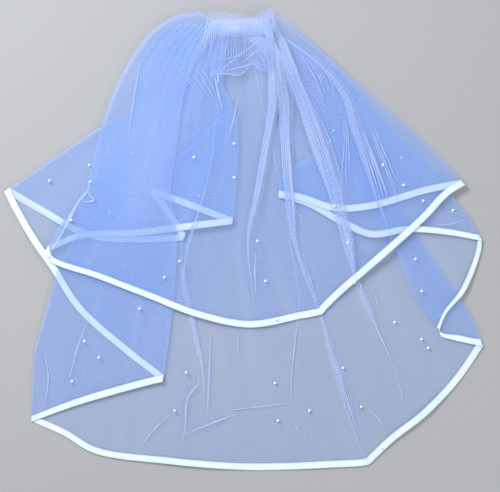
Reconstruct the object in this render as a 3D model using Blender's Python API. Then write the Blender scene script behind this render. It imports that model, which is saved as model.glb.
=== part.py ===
"""Communion veil laid flat: a folded and gathered tulle oval with a ribbon binding, on a hair comb.

Sizes are in millimetres and become metres in add_solid. +X is to the right of the veil as it lies with
its comb away from the viewer, +Y runs from the hem to the comb, and +Z is up from the surface it lies on.
"""
import math
from collections import namedtuple

import bmesh
import bpy
import numpy as np
from mathutils import Vector
from mathutils.bvhtree import BVHTree

MM = 0.001

# Cloth
WALL = 1.0              # tulle and ribbon wall
LAYER = 1.8             # height of one layer on the next
ROWS = 16               # rows of faces from the gather line to the hem
ROW_EASE = 1.25         # above 1, rows are closer together at the gather line
TURN_DEGREES = (-30.0, 30.0)    # stations round the turn of a fold
EDGE_MARGIN = 5.0       # a layer still counts as full this far past its edge
DRAPE_SHARE = 0.45      # an upper layer comes down past an edge over this share of the way to the comb
DRAPE_MIN = 35.0
DRAPE_MAX = 120.0
UPPER_PUFF = 3.0        # the upper tier stands this much higher at the comb
UPPER_PUFF_REACH = 320.0
HEADING = 30.0          # the gathered layers lift what is over them this far behind the gather line

# Ribbon
RIBBON_WIDTH = 11.0
SEAM_GAP = 0.3
MITRE_MAX = 2.0         # longest mitre at a fold, in half ribbon widths
MITRE_REACH = 15.0      # the mitre fades out along the hem over this length

# Gather line and comb
COMB_X = -7.0
COMB_Y = 334.0
COMB_WIDTH = 78.0
COMB_THICK = 2.4
RAIL_HEIGHT = 9.0
TOOTH_LENGTH = 42.0
TOOTH_COUNT = 19
TOOTH_SHARE = 0.5       # share of the pitch that a tooth takes at its root
COMB_CLEAR = 0.4
COMB_MARGIN = 14.0
COMB_REACH = 90.0       # the cloth comes down from the comb over this length

# Header frill and comb band
FRILL_WAVES = 11
FRILL_TOP = 360.0
FRILL_BOTTOM = 268.0
FRILL_WIDTH = 104.0
FRILL_WAVE_LOW = 0.8    # wave height under the band
FRILL_WAVE_HIGH = 3.2   # wave height at the free edges
BAND_WIDTH = 106.0
BAND_HEIGHT = 28.0
BAND_ARCH = 2.4
BAND_RUCHES = 13
BAND_RUCHE_HEIGHT = 0.9
LIE_CLEAR = 0.4         # between a piece and the one it lies on
FRILL_REACH = 2.0       # the frill and the band clear all that lies within this of their points
BAND_REACH = 3.0

# A fold's line runs from the gather line through its bends to its tip on the middle of the ribbon.
Fold = namedtuple("Fold", "name side start bends tip")
FOLDS = [
    Fold("shoulder_left", "left", (-75, 362),
         [(-110, 356), (-150, 331), (-206, 246), (-243, 130), (-256, 72), (-291, 30)], (-317, -16)),
    Fold("shoulder_right", "right", (37, 364),
         [(62, 349), (107, 313), (163, 262), (281, 157), (320, 119)], (345, 90)),
    Fold("right_inner", "left", (6, 340), [(77, 230), (115, 182), (129, 154), (86, 122), (58, 98)], (53, 72)),
    Fold("right_outer", "right", (34, 336),
         [(72, 322), (112, 292), (176, 236), (229, 176), (277, 131), (310, 98), (338, 56), (354, 38)], (374, 2)),
    Fold("right_low", "left", (13, 334), [(120, 170), (229, 3), (274, -98)], (307, -142)),
    Fold("corner_right", "right", (22, 334), [(274, 5), (333, -82), (363, -130)], (376, -166)),
    Fold("corner_left", "left", (-55, 340),
         [(-100, 342), (-136, 326), (-162, 294), (-177, 250), (-189, 178), (-214, 124), (-262, 20),
          (-301, -52), (-323, -130), (-336, -174), (-341, -242)], (-342, -287)),
    Fold("left_low", "right", (-38, 334),
         [(-75, 290), (-97, 243), (-109, 162), (-120, 76), (-111, 0), (-120, -130)], (-133, -222)),
    Fold("wing_left", "left", (-50, 336),
         [(-95, 334), (-130, 316), (-154, 284), (-168, 242), (-187, 203), (-229, 180)], (-381, 78)),
    Fold("left_middle", "right", (-31, 334),
         [(-46, 252), (-28, 208), (-37, 170), (-53, 130), (-82, 42)], (-99, 3)),
    Fold("left_inner", "left", (-38, 334), [(-56, 256), (-38, 208), (-78, 158), (-112, 128)], (-149, 77)),
    Fold("left_upper", "right", (-25, 334), [(-37, 250), (-18, 206), (-13, 160), (-15, 104)], (-22, 29)),
]

# A pleat is a low ridge from the gather line through its bends to its end on the hem.
Pleat = namedtuple("Pleat", "start bends end width height")

# The panels in the order in which the cloth runs round, from the upper tier over the right folds, the lower
# tier and the left folds back to the upper tier. Panel i lies between fold i and fold i + 1. "level" is its
# place in the stack from the bottom, "steps" are the stretches between its folds and pleats, and "hem" has
# the bends of its hem between the two tips.
Panel = namedtuple("Panel", "name level steps hem pleats")
PANELS = [
    Panel("upper_tier", 11, (10, 4, 3, 3, 3, 5),
          [(-311, -31), (-234, -59), (-154, -90), (-75, -120), (6, -136), (86, -122), (118, -115), (147, -86),
           (211, -30), (282, 34), (320, 74)],
          [Pleat((-35, 336), [(-46, 270), (-62, 110), (-97, -35)], (-101, -111), 14, 1.6),
           Pleat((-12, 334), [(30, 262), (26, 158), (8, 40)], (16, -135), 12, 2.4),
           Pleat((2, 334), [(59, 222), (71, 70), (76, -2)], (116, -115), 20, 2.6),
           Pleat((14, 335), [(82, 214), (128, 130), (158, 50)], (180, -58), 26, 3.0),
           Pleat((24, 338), [(134, 238), (205, 158), (242, 61)], (266, 18), 16, 2.0)]),
    Panel("right_fold_1", 10, (6,), [(286, 78), (198, 53), (141, 50), (86, 67)], []),
    Panel("right_fold_2", 9, (5,), [(98, 58), (160, 24), (200, 8), (261, 16), (325, 11)], []),
    Panel("right_fold_3", 8, (5,), [(371, -21), (346, -82), (318, -117)], []),
    Panel("right_fold_4", 7, (3,), [(338, -158)], []),
    Panel("lower_tier", 0, (7, 4, 4, 6),
          [(338, -222), (286, -277), (235, -317), (195, -355), (134, -360), (6, -364), (-126, -354),
           (-240, -338), (-291, -309)],
          [Pleat((10, 334), [(70, 200), (109, -98), (160, -260)], (190, -354), 20, 2.6),
           Pleat((-2, 334), [(40, 160), (83, -133), (73, -261)], (82, -362), 14, 1.8),
           Pleat((-33, 334), [(-70, 160), (-86, -104), (-68, -227)], (-66, -360), 16, 2.0)]),
    Panel("left_fold_6", 1, (5,), [(-266, -259), (-165, -230)], []),
    Panel("left_fold_5", 2, (9,), [(-189, -179), (-266, -110), (-307, -46), (-342, 5), (-371, 56)], []),
    Panel("left_fold_4", 3, (5,), [(-330, 48), (-253, 8), (-178, 0)], []),
    Panel("left_fold_3", 4, (3,), [(-128, 48)], []),
    Panel("left_fold_2", 5, (3,), [(-88, 54)], []),
    Panel("left_fold_1", 6, (8,), [(-88, 21), (-178, 10), (-266, 5)], []),
]
UPPER_TIER = 0
LOWER_TIER = 5
OVER_LOWER_PLEATS = (0, 2, 3)   # panels under which the lower tier's pleats fade out
PLEAT_PROFILE = ((-0.5, 0.0), (-0.22, 1.0), (0.22, 1.0), (0.5, 0.0))    # place across, share of the height
PLEAT_GATHERED = 0.3    # a pleat's width at the gather line, as a share of its width at the hem


def clear_scene():
    for obj in list(bpy.data.objects):
        bpy.data.objects.remove(obj, do_unlink=True)


def make_material(name, color, roughness, alpha=1.0):
    material = bpy.data.materials.new(name)
    material.use_nodes = True
    shader = material.node_tree.nodes["Principled BSDF"]
    shader.inputs["Base Color"].default_value = (*color, 1.0)
    shader.inputs["Roughness"].default_value = roughness
    shader.inputs["Alpha"].default_value = alpha
    return material


def smoothstep(x):
    x = np.clip(x, 0.0, 1.0)
    return x * x * (3.0 - 2.0 * x)


def unit(v):
    return v / np.maximum(np.linalg.norm(v, axis=-1, keepdims=True), 1e-9)


class Line:
    """A smooth plan line through points: a centripetal Catmull-Rom curve, read by its share of length."""

    def __init__(self, points, steps=24):
        p = np.array(points, float)
        p = np.vstack([2 * p[0] - p[1], p, 2 * p[-1] - p[-2]])
        knot = np.concatenate([[0.0], np.cumsum(np.sqrt(np.linalg.norm(np.diff(p, axis=0), axis=1)))])
        dense = []
        for i in range(1, len(p) - 2):
            t = np.linspace(knot[i], knot[i + 1], steps, endpoint=False)[:, None]
            k = knot[i - 1:i + 3]
            q = p[i - 1:i + 3]
            a = [((k[j + 1] - t) * q[j] + (t - k[j]) * q[j + 1]) / (k[j + 1] - k[j]) for j in range(3)]
            b = [((k[j + 2] - t) * a[j] + (t - k[j]) * a[j + 1]) / (k[j + 2] - k[j]) for j in range(2)]
            dense.append(((k[2] - t) * b[0] + (t - k[1]) * b[1]) / (k[2] - k[1]))
        self.points = np.vstack(dense + [p[-2:-1]])
        self.set_lengths()

    def set_lengths(self):
        step = np.linalg.norm(np.diff(self.points, axis=0), axis=1)
        self.along = np.concatenate([[0.0], np.cumsum(step)])
        self.length = self.along[-1]

    def cut(self, length):
        """Shortens the line at its far end."""
        end = self.at(length / self.length)
        self.points = np.vstack([self.points[self.along < length - 1e-6], end])
        self.set_lengths()

    def at(self, share):
        s = np.asarray(share, float) * self.length
        return np.stack([np.interp(s, self.along, self.points[:, k]) for k in (0, 1)], axis=-1)

    def direction(self, share):
        reach = 4.0 / self.length
        return unit(self.at(np.clip(share + reach, 0, 1)) - self.at(np.clip(share - reach, 0, 1)))

    def nearest(self, point):
        k = np.argmin(np.linalg.norm(self.points - np.array(point, float), axis=1))
        return self.along[k] / self.length


def distance_outside(points, outline):
    """Distance from each point to an outline, and zero inside it."""
    a = outline
    b = np.roll(outline, -1, axis=0)
    p = points[:, None, :]
    ab = b - a
    h = ((p - a) * ab).sum(-1) / np.maximum((ab * ab).sum(-1), 1e-9)
    near = a + np.clip(h, 0, 1)[..., None] * ab
    distance = np.linalg.norm(p - near, axis=-1).min(axis=1)
    crosses = (a[:, 1] > p[..., 1]) != (b[:, 1] > p[..., 1])
    rise = np.where(np.abs(ab[:, 1]) < 1e-9, 1e-9, ab[:, 1])
    hit_x = a[:, 0] + (p[..., 1] - a[:, 1]) * ab[:, 0] / rise
    inside = (crosses & (p[..., 0] < hit_x)).sum(axis=1) % 2 == 1
    return np.where(inside, 0.0, distance)


class VeilPlan:
    """The plan of the cloth: for each panel a net of stations across by rows from gather line to hem."""

    def __init__(self):
        half = RIBBON_WIDTH / 2
        self.hems = []
        for i, panel in enumerate(PANELS):
            ends = (FOLDS[i].tip, FOLDS[(i + 1) % len(FOLDS)].tip)
            self.hems.append(Line([ends[0], *panel.hem, ends[1]]))
        self.fold_lines = []
        self.mitres = []
        for i, fold in enumerate(FOLDS):
            line = Line([fold.start, *fold.bends, fold.tip])
            d = line.direction(1.0)
            sines = [abs(np.cross(d, self.hems[i].direction(0.0))),
                     abs(np.cross(d, self.hems[i - 1].direction(1.0)))]
            self.mitres.append(d * min(1 / max(np.mean(sines), 0.1), MITRE_MAX) * half)
            self.fold_lines.append(line)
        self.rows = np.linspace(0, 1, ROWS + 1) ** ROW_EASE
        self.fold_rows = []
        for line, mitre in zip(self.fold_lines, self.mitres):
            size = np.linalg.norm(mitre)
            line.cut(line.length - size * (1 + SEAM_GAP / half))
            self.fold_rows.append(line.at(self.rows))
        self.panels = [self.lay_panel(i) for i in range(len(PANELS))]
        self.outlines = [self.outline(i) for i in range(len(PANELS))]

    def hem_point(self, i, share, offset):
        """A hem point moved outwards by offset half ribbon widths, along the mitre near the two tips."""
        hem = self.hems[i]
        d = hem.direction(share)
        turn = 1 if i % 2 == 0 else -1
        n = np.array([d[1], -d[0]]) * turn * RIBBON_WIDTH / 2
        near_first = smoothstep(1 - share * hem.length / MITRE_REACH)
        near_last = smoothstep(1 - (1 - share) * hem.length / MITRE_REACH)
        out = (1 - near_first - near_last) * n
        out = out + near_first * self.mitres[i] + near_last * self.mitres[(i + 1) % len(FOLDS)]
        return hem.at(share) + offset * out

    def lay_panel(self, i):
        """Stations of a panel: rows of plan points, ribbon edges and pleat height, from fold to fold."""
        panel = PANELS[i]
        hem = self.hems[i]
        t = self.rows[:, None]
        inner = -(1 + 2 * SEAM_GAP / RIBBON_WIDTH)
        guides = [(self.fold_rows[i], 0.0, 0.0)]
        for pleat in panel.pleats:
            line = Line([pleat.start, *pleat.bends, pleat.end])
            middle = line.at(self.rows)
            across = np.stack([line.direction(s) for s in self.rows])
            turn = 1 if i % 2 == 0 else -1
            across = np.stack([-across[:, 1], across[:, 0]], axis=1) * turn
            width = pleat.width * (PLEAT_GATHERED + (1 - PLEAT_GATHERED) * t)
            centre = hem.nearest(pleat.end)
            for place, share in PLEAT_PROFILE:
                hem_share = centre + place * pleat.width / hem.length
                rows = middle + across * place * width
                rows = rows + (self.hem_point(i, hem_share, inner) - rows[-1]) * t ** 3
                guides.append((rows, hem_share, share * pleat.height))
        guides.append((self.fold_rows[(i + 1) % len(FOLDS)], 1.0, 0.0))
        stations = []
        step = iter(panel.steps)
        inside_pleat = len(PLEAT_PROFILE)
        for k in range(len(guides) - 1):
            a, b = guides[k], guides[k + 1]
            between = 1 if k % inside_pleat else next(step)
            for m in range(between):
                u = m / between
                share = (1 - u) * a[1] + u * b[1]
                rows = (1 - u) * a[0] + u * b[0]
                target = self.hem_point(i, share, inner)
                rows = rows + (target - rows[-1]) * t
                stations.append((rows, share, (1 - u) * a[2] + u * b[2]))
        stations.append(guides[-1])
        return stations

    def outline(self, i):
        """The outline of a panel with its ribbon, round from behind the gather line."""
        shares = np.linspace(0, 1, 41)
        hem = np.array([self.hem_point(i, s, 1.0) for s in shares])
        first = self.fold_rows[i]
        last = self.fold_rows[(i + 1) % len(FOLDS)]
        behind = np.array([0, HEADING])
        return np.vstack([first[0] + behind, first, hem, last[::-1], last[0] + behind])

    def comb_lift(self, points):
        """How much the comb lifts the cloth: full over the comb, down to nothing around it."""
        centre = np.array([COMB_X, COMB_Y - TOOTH_LENGTH / 2])
        half = np.array([COMB_WIDTH / 2, (TOOTH_LENGTH + RAIL_HEIGHT) / 2]) + COMB_MARGIN
        away = np.linalg.norm(np.maximum(np.abs(points - centre) - half, 0), axis=-1)
        return (COMB_THICK + COMB_CLEAR) * smoothstep(1 - away / COMB_REACH)

    def cover(self, points, j):
        """How much panel j lifts what lies over it: 1 on the panel, down to 0 past its edge."""
        to_comb = np.linalg.norm(points - np.array([COMB_X, COMB_Y]), axis=-1)
        reach = np.clip(DRAPE_SHARE * to_comb, DRAPE_MIN, DRAPE_MAX)
        away = distance_outside(points, self.outlines[j]) - EDGE_MARGIN
        return smoothstep(1 - np.maximum(away, 0) / reach)

    def height(self, points, level):
        """Middle of the wall of the layer at a level, over plan points."""
        z = WALL / 2 + self.comb_lift(points)
        for j, panel in enumerate(PANELS):
            if panel.level < level:
                z = z + LAYER * self.cover(points, j)
        return z


class Ring:
    """The cloth as an endless ring of stations, each a column of middle points and front directions."""

    def __init__(self, plan):
        self.plan = plan
        self.tulle = []
        self.ribbon = []
        count = len(PANELS)
        face = 1.0
        for i in range(count):
            for rows, share, pleat in plan.panels[i]:
                edge = np.array([plan.hem_point(i, share, s) for s in (-1.0, 1.0)])
                self.add(self.tulle, rows, i, pleat, face)
                self.add(self.ribbon, edge, i, pleat, face)
            self.turn(i, (i + 1) % count, face)
            face = -face

    def lift(self, points, i, pleat):
        z = self.plan.height(points, PANELS[i].level)
        if i == UPPER_TIER:
            to_comb = np.linalg.norm(points - np.array([COMB_X, COMB_Y]), axis=-1)
            z = z + UPPER_PUFF * smoothstep(1 - to_comb / UPPER_PUFF_REACH)
        if i == LOWER_TIER:
            return z + pleat * (1 - np.max([self.plan.cover(points, j) for j in OVER_LOWER_PLEATS], axis=0))
        return z + pleat

    def add(self, ring, rows, i, pleat, face):
        z = self.lift(rows, i, pleat)
        front = np.zeros((len(rows), 3))
        front[:, 2] = face
        ring.append((np.column_stack([rows, z]), front))

    def turn(self, i, j, face):
        """The turn of the fold from panel i to panel j, round a level axis along the fold line."""
        fold = FOLDS[j]
        tulle_rows = self.plan.fold_rows[j]
        tip = self.plan.fold_lines[j]
        mitre = self.plan.mitres[j]
        end = np.array(fold.tip, float)
        ribbon_rows = np.array([end - mitre, end + mitre])
        going_down = PANELS[i].level > PANELS[j].level
        degrees = sorted(TURN_DEGREES, reverse=going_down)
        for ring, rows in ((self.tulle, tulle_rows), (self.ribbon, ribbon_rows)):
            if ring is self.tulle:
                along = np.stack([tip.direction(s) for s in self.plan.rows])
            else:
                along = np.stack([unit(mitre)] * 2)
            out = np.stack([along[:, 1], -along[:, 0]], axis=1) * (1 if fold.side == "left" else -1)
            z_i = self.lift(rows, i, 0)
            z_j = self.lift(rows, j, 0)
            middle = (z_i + z_j) / 2
            half = np.abs(z_i - z_j) / 2
            sign = face if going_down else -face
            for angle in degrees:
                c = math.cos(math.radians(angle))
                s = math.sin(math.radians(angle))
                xy = rows + out * LAYER / 2 * c
                front = np.column_stack([out * c, np.full(len(rows), s)]) * sign
                ring.append((np.column_stack([xy, middle + half * s]), front))


def add_solid(name, points, faces, material, smooth_angle=40.0):
    mesh = bpy.data.meshes.new(name)
    mesh.from_pydata((np.asarray(points) * MM).tolist(), [], [list(map(int, f)) for f in faces])
    mesh.materials.append(material)
    work = bmesh.new()
    work.from_mesh(mesh)
    bmesh.ops.recalc_face_normals(work, faces=work.faces)
    work.to_mesh(mesh)
    work.free()
    mesh.shade_smooth()
    mesh.set_sharp_from_angle(angle=math.radians(smooth_angle))
    obj = bpy.data.objects.new(name, mesh)
    bpy.context.scene.collection.objects.link(obj)
    return obj


def wall_faces(columns, rows, closed):
    """Triangles of a wall: front net, back net and edges. Points run front then back, column by column."""
    faces = []
    back = columns * rows
    around = columns if closed else columns - 1
    for i in range(around):
        i2 = (i + 1) % columns
        for j in range(rows - 1):
            a, b, c, d = i * rows + j, i2 * rows + j, i2 * rows + j + 1, i * rows + j + 1
            faces += [(a, b, c), (a, c, d)]
            faces += [(back + c, back + b, back + a), (back + d, back + c, back + a)]
        for j, flip in ((0, 1), (rows - 1, -1)):
            a, b = i * rows + j, i2 * rows + j
            faces += [(a, back + a, back + b)[::flip], (a, back + b, b)[::flip]]
    if not closed:
        for i, flip in ((0, -1), (columns - 1, 1)):
            for j in range(rows - 1):
                a, b = i * rows + j, i * rows + j + 1
                faces += [(a, back + a, back + b)[::flip], (a, back + b, b)[::flip]]
    return faces


def add_ring(name, ring, material):
    """A closed ring of cloth, with its wall put half to each side of the stations' middle points."""
    middle = np.array([m for m, n in ring])
    front = np.array([n for m, n in ring])
    both = np.vstack([(middle + front * WALL / 2).reshape(-1, 3), (middle - front * WALL / 2).reshape(-1, 3)])
    return add_solid(name, both, wall_faces(len(ring), middle.shape[1], True), material)


def add_sheet(name, middle, material):
    """An open sheet of cloth from a net of middle points, with its wall put up and down."""
    up = np.array([0, 0, WALL / 2])
    both = np.vstack([(middle + up).reshape(-1, 3), (middle - up).reshape(-1, 3)])
    return add_solid(name, both, wall_faces(middle.shape[0], middle.shape[1], False), material)


def top_height(tree, x, y, reach):
    """Highest point of a solid within a square of a plan point, in millimetres."""
    tops = [0.0]
    steps = np.linspace(-reach, reach, 5)
    for dx, dy in ((dx, dy) for dx in steps for dy in steps):
        hit = tree.ray_cast(Vector(((x + dx) * MM, (y + dy) * MM, 1.0)), Vector((0, 0, -1)))[0]
        if hit is not None:
            tops.append(hit.z / MM)
    return max(tops)


def frill_wave(y):
    """Height of the frill's gathers: low under the band, higher towards its free edges."""
    return FRILL_WAVE_LOW + (FRILL_WAVE_HIGH - FRILL_WAVE_LOW) * smoothstep((abs(y - COMB_Y) - 12) / 30)


def rest_on(tree, net, reach):
    """Lifts a net of points, whose z is a height over its seat, clear of the solid that it lies on."""
    seat = np.array([[top_height(tree, x, y, reach) for x, y, z in column] for column in net])
    padded = np.pad(seat, ((1, 1), (1, 1)), mode="edge")
    rows, columns = seat.shape
    near = [padded[i:i + rows, j:j + columns] for i in range(3) for j in range(3)]
    lifted = net.copy()
    lifted[:, :, 2] += np.max(near, axis=0) + LIE_CLEAR + WALL / 2
    return lifted


def add_frill(tree, material):
    """The gathered header: waves across it, pinched by the band, with a wavy lower edge."""
    columns = 4 * FRILL_WAVES + 1
    net = []
    for s in np.linspace(-0.5, 0.5, columns):
        top = FRILL_TOP - 6 * math.cos(2 * math.pi * s * 1.7) + 4 * s
        bottom = FRILL_BOTTOM + 6 * math.sin(2 * math.pi * (s * 2.2 + 0.1)) - 4 * s
        column = []
        for y in (top, COMB_Y + 14, COMB_Y, COMB_Y - 14, (COMB_Y - 14 + bottom) / 2, bottom):
            x = COMB_X + FRILL_WIDTH * s * (0.92 + 0.08 * smoothstep(abs(y - COMB_Y) / 40))
            wave = 0.5 - 0.5 * math.cos(2 * math.pi * FRILL_WAVES * (s + 0.5))
            column.append((x, y, frill_wave(y) * wave))
        net.append(column)
    return add_sheet("header_frill", rest_on(tree, np.array(net), FRILL_REACH), material)


def add_band(tree, material):
    """The ruched band over the frill: an arch across its height, with ruches along it."""
    columns = 2 * BAND_RUCHES + 1
    net = []
    for s in np.linspace(-0.5, 0.5, columns):
        ruche = BAND_RUCHE_HEIGHT * (0.5 + 0.5 * math.cos(2 * math.pi * BAND_RUCHES * (s + 0.5)))
        column = []
        for v in (-1.0, -0.6, 0.0, 0.6, 1.0):
            x = COMB_X + BAND_WIDTH * s
            y = COMB_Y + BAND_HEIGHT / 2 * v
            column.append((x, y, BAND_ARCH * (1 - v * v) + ruche * (1 - 0.6 * v * v)))
        net.append(column)
    return add_sheet("comb_band", rest_on(tree, np.array(net), BAND_REACH), material)


def add_comb(material):
    """The comb: one flat moulding, a rail with tapered teeth."""
    pitch = COMB_WIDTH / TOOTH_COUNT
    left = COMB_X - COMB_WIDTH / 2
    rail_low = COMB_Y - RAIL_HEIGHT / 2
    outline = [(left + COMB_WIDTH, rail_low + RAIL_HEIGHT), (left, rail_low + RAIL_HEIGHT)]
    for k in range(TOOTH_COUNT):
        middle = left + pitch * (k + 0.5)
        root = pitch * (0.5 if k in (0, TOOTH_COUNT - 1) else TOOTH_SHARE / 2)
        first = left if k == 0 else middle - pitch * TOOTH_SHARE / 2
        last = left + COMB_WIDTH if k == TOOTH_COUNT - 1 else middle + pitch * TOOTH_SHARE / 2
        tip = root * 0.5
        outline += [(first, rail_low), (middle - tip, rail_low - TOOTH_LENGTH + 2),
                    (middle + tip, rail_low - TOOTH_LENGTH + 2), (last, rail_low)]
    work = bmesh.new()
    loop = [work.verts.new((x * MM, y * MM, 0.0)) for x, y in outline]
    face = work.faces.new(loop)
    moved = bmesh.ops.extrude_face_region(work, geom=[face])["geom"]
    for vert in (v for v in moved if isinstance(v, bmesh.types.BMVert)):
        vert.co.z = COMB_THICK * MM
    bmesh.ops.recalc_face_normals(work, faces=work.faces)
    mesh = bpy.data.meshes.new("comb")
    work.to_mesh(mesh)
    work.free()
    mesh.materials.append(material)
    obj = bpy.data.objects.new("comb", mesh)
    bpy.context.scene.collection.objects.link(obj)
    return obj


def centre_on_footprint(objects):
    """Moves the meshes so that the footprint's middle is the origin."""
    corners = np.array([v.co[:] for obj in objects for v in obj.data.vertices])
    middle = (corners.min(axis=0) + corners.max(axis=0)) / 2
    for obj in objects:
        for vert in obj.data.vertices:
            vert.co.x -= middle[0]
            vert.co.y -= middle[1]


def tree_of(obj):
    work = bmesh.new()
    work.from_mesh(obj.data)
    tree = BVHTree.FromBMesh(work)
    work.free()
    return tree


def build():
    clear_scene()
    tulle = make_material("tulle", (0.72, 0.80, 0.95), 0.7, 0.6)
    satin = make_material("ribbon_satin", (0.88, 0.94, 1.0), 0.35)
    plastic = make_material("comb_plastic", (0.85, 0.9, 0.95), 0.2)
    ring = Ring(VeilPlan())
    objects = [add_ring("tulle_oval", ring.tulle, tulle), add_ring("ribbon_binding", ring.ribbon, satin)]
    frill = add_frill(tree_of(objects[0]), tulle)
    objects += [frill, add_band(tree_of(frill), satin), add_comb(plastic)]
    centre_on_footprint(objects)


build()
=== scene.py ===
import math
from collections import namedtuple

import bpy
import numpy as np
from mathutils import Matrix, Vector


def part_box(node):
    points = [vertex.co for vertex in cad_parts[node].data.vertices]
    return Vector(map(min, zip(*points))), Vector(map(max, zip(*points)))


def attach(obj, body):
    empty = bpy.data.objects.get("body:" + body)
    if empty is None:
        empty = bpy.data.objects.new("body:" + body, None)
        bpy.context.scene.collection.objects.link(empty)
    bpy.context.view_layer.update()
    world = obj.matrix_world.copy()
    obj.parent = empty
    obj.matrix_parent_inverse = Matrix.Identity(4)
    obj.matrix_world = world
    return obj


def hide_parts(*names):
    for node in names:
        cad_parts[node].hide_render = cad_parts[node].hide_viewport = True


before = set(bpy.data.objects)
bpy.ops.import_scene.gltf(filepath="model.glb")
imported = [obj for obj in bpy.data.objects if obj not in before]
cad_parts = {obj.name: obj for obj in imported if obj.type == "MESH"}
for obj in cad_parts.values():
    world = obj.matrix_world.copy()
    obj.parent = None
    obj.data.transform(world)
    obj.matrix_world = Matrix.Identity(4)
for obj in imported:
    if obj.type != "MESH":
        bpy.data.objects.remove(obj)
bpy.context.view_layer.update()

# The tulle oval: one piece of soft nylon tulle, gathered on a line across it and folded over there, so that
# a short tier lies on a long one, with the sides of both in flat folds between them. It is one thin sheet
# on the form of its solid, and its finer tucks and pinched creases are placed here.
#
# Lengths are millimetres on a plan with the comb at the top. The comb's own box says where the plan lies.
MM = 0.001
GATHER = np.array([-7.0, 334.0])    # middle of the gather line
RAIL_HALF = 4.5
comb_low, comb_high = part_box("comb")
plan_shift = np.array([(comb_low.x + comb_high.x) / 2, comb_high.y]) / MM - GATHER - [0, RAIL_HALF]

# A fold's line runs from the gather line through its bends to its tip on the middle of the ribbon.
Fold = namedtuple("Fold", "name side start bends tip")
FOLDS = [
    Fold("shoulder_left", "left", (-75, 362),
         [(-110, 356), (-150, 331), (-206, 246), (-243, 130), (-256, 72), (-291, 30)], (-317, -16)),
    Fold("shoulder_right", "right", (37, 364),
         [(62, 349), (107, 313), (163, 262), (281, 157), (320, 119)], (345, 90)),
    Fold("right_inner", "left", (6, 340),
         [(77, 230), (115, 182), (129, 154), (86, 122), (58, 98)], (53, 72)),
    Fold("right_outer", "right", (34, 336),
         [(72, 322), (112, 292), (176, 236), (229, 176), (277, 131), (310, 98), (338, 56), (354, 38)],
         (374, 2)),
    Fold("right_low", "left", (13, 334), [(120, 170), (229, 3), (274, -98)], (307, -142)),
    Fold("corner_right", "right", (22, 334), [(274, 5), (333, -82), (363, -130)], (376, -166)),
    Fold("corner_left", "left", (-55, 340),
         [(-100, 342), (-136, 326), (-162, 294), (-177, 250), (-189, 178), (-214, 124), (-262, 20),
          (-301, -52), (-323, -130), (-336, -174), (-341, -242)], (-342, -287)),
    Fold("left_low", "right", (-38, 334),
         [(-75, 290), (-97, 243), (-109, 162), (-120, 76), (-111, 0), (-120, -130)], (-133, -222)),
    Fold("wing_left", "left", (-50, 336),
         [(-95, 334), (-130, 316), (-154, 284), (-168, 242), (-187, 203), (-229, 180)], (-381, 78)),
    Fold("left_middle", "right", (-31, 334),
         [(-46, 252), (-28, 208), (-37, 170), (-53, 130), (-82, 42)], (-99, 3)),
    Fold("left_inner", "left", (-38, 334), [(-56, 256), (-38, 208), (-78, 158), (-112, 128)], (-149, 77)),
    Fold("left_upper", "right", (-25, 334), [(-37, 250), (-18, 206), (-13, 160), (-15, 104)], (-22, 29)),
]

# A tuck lies flat in three layers along its line. Its widths are given at even shares of the way from the
# gather line to the hem, and its height is how far it stands above the cloth beside it.
Tuck = namedtuple("Tuck", "start bends end widths height")

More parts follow.
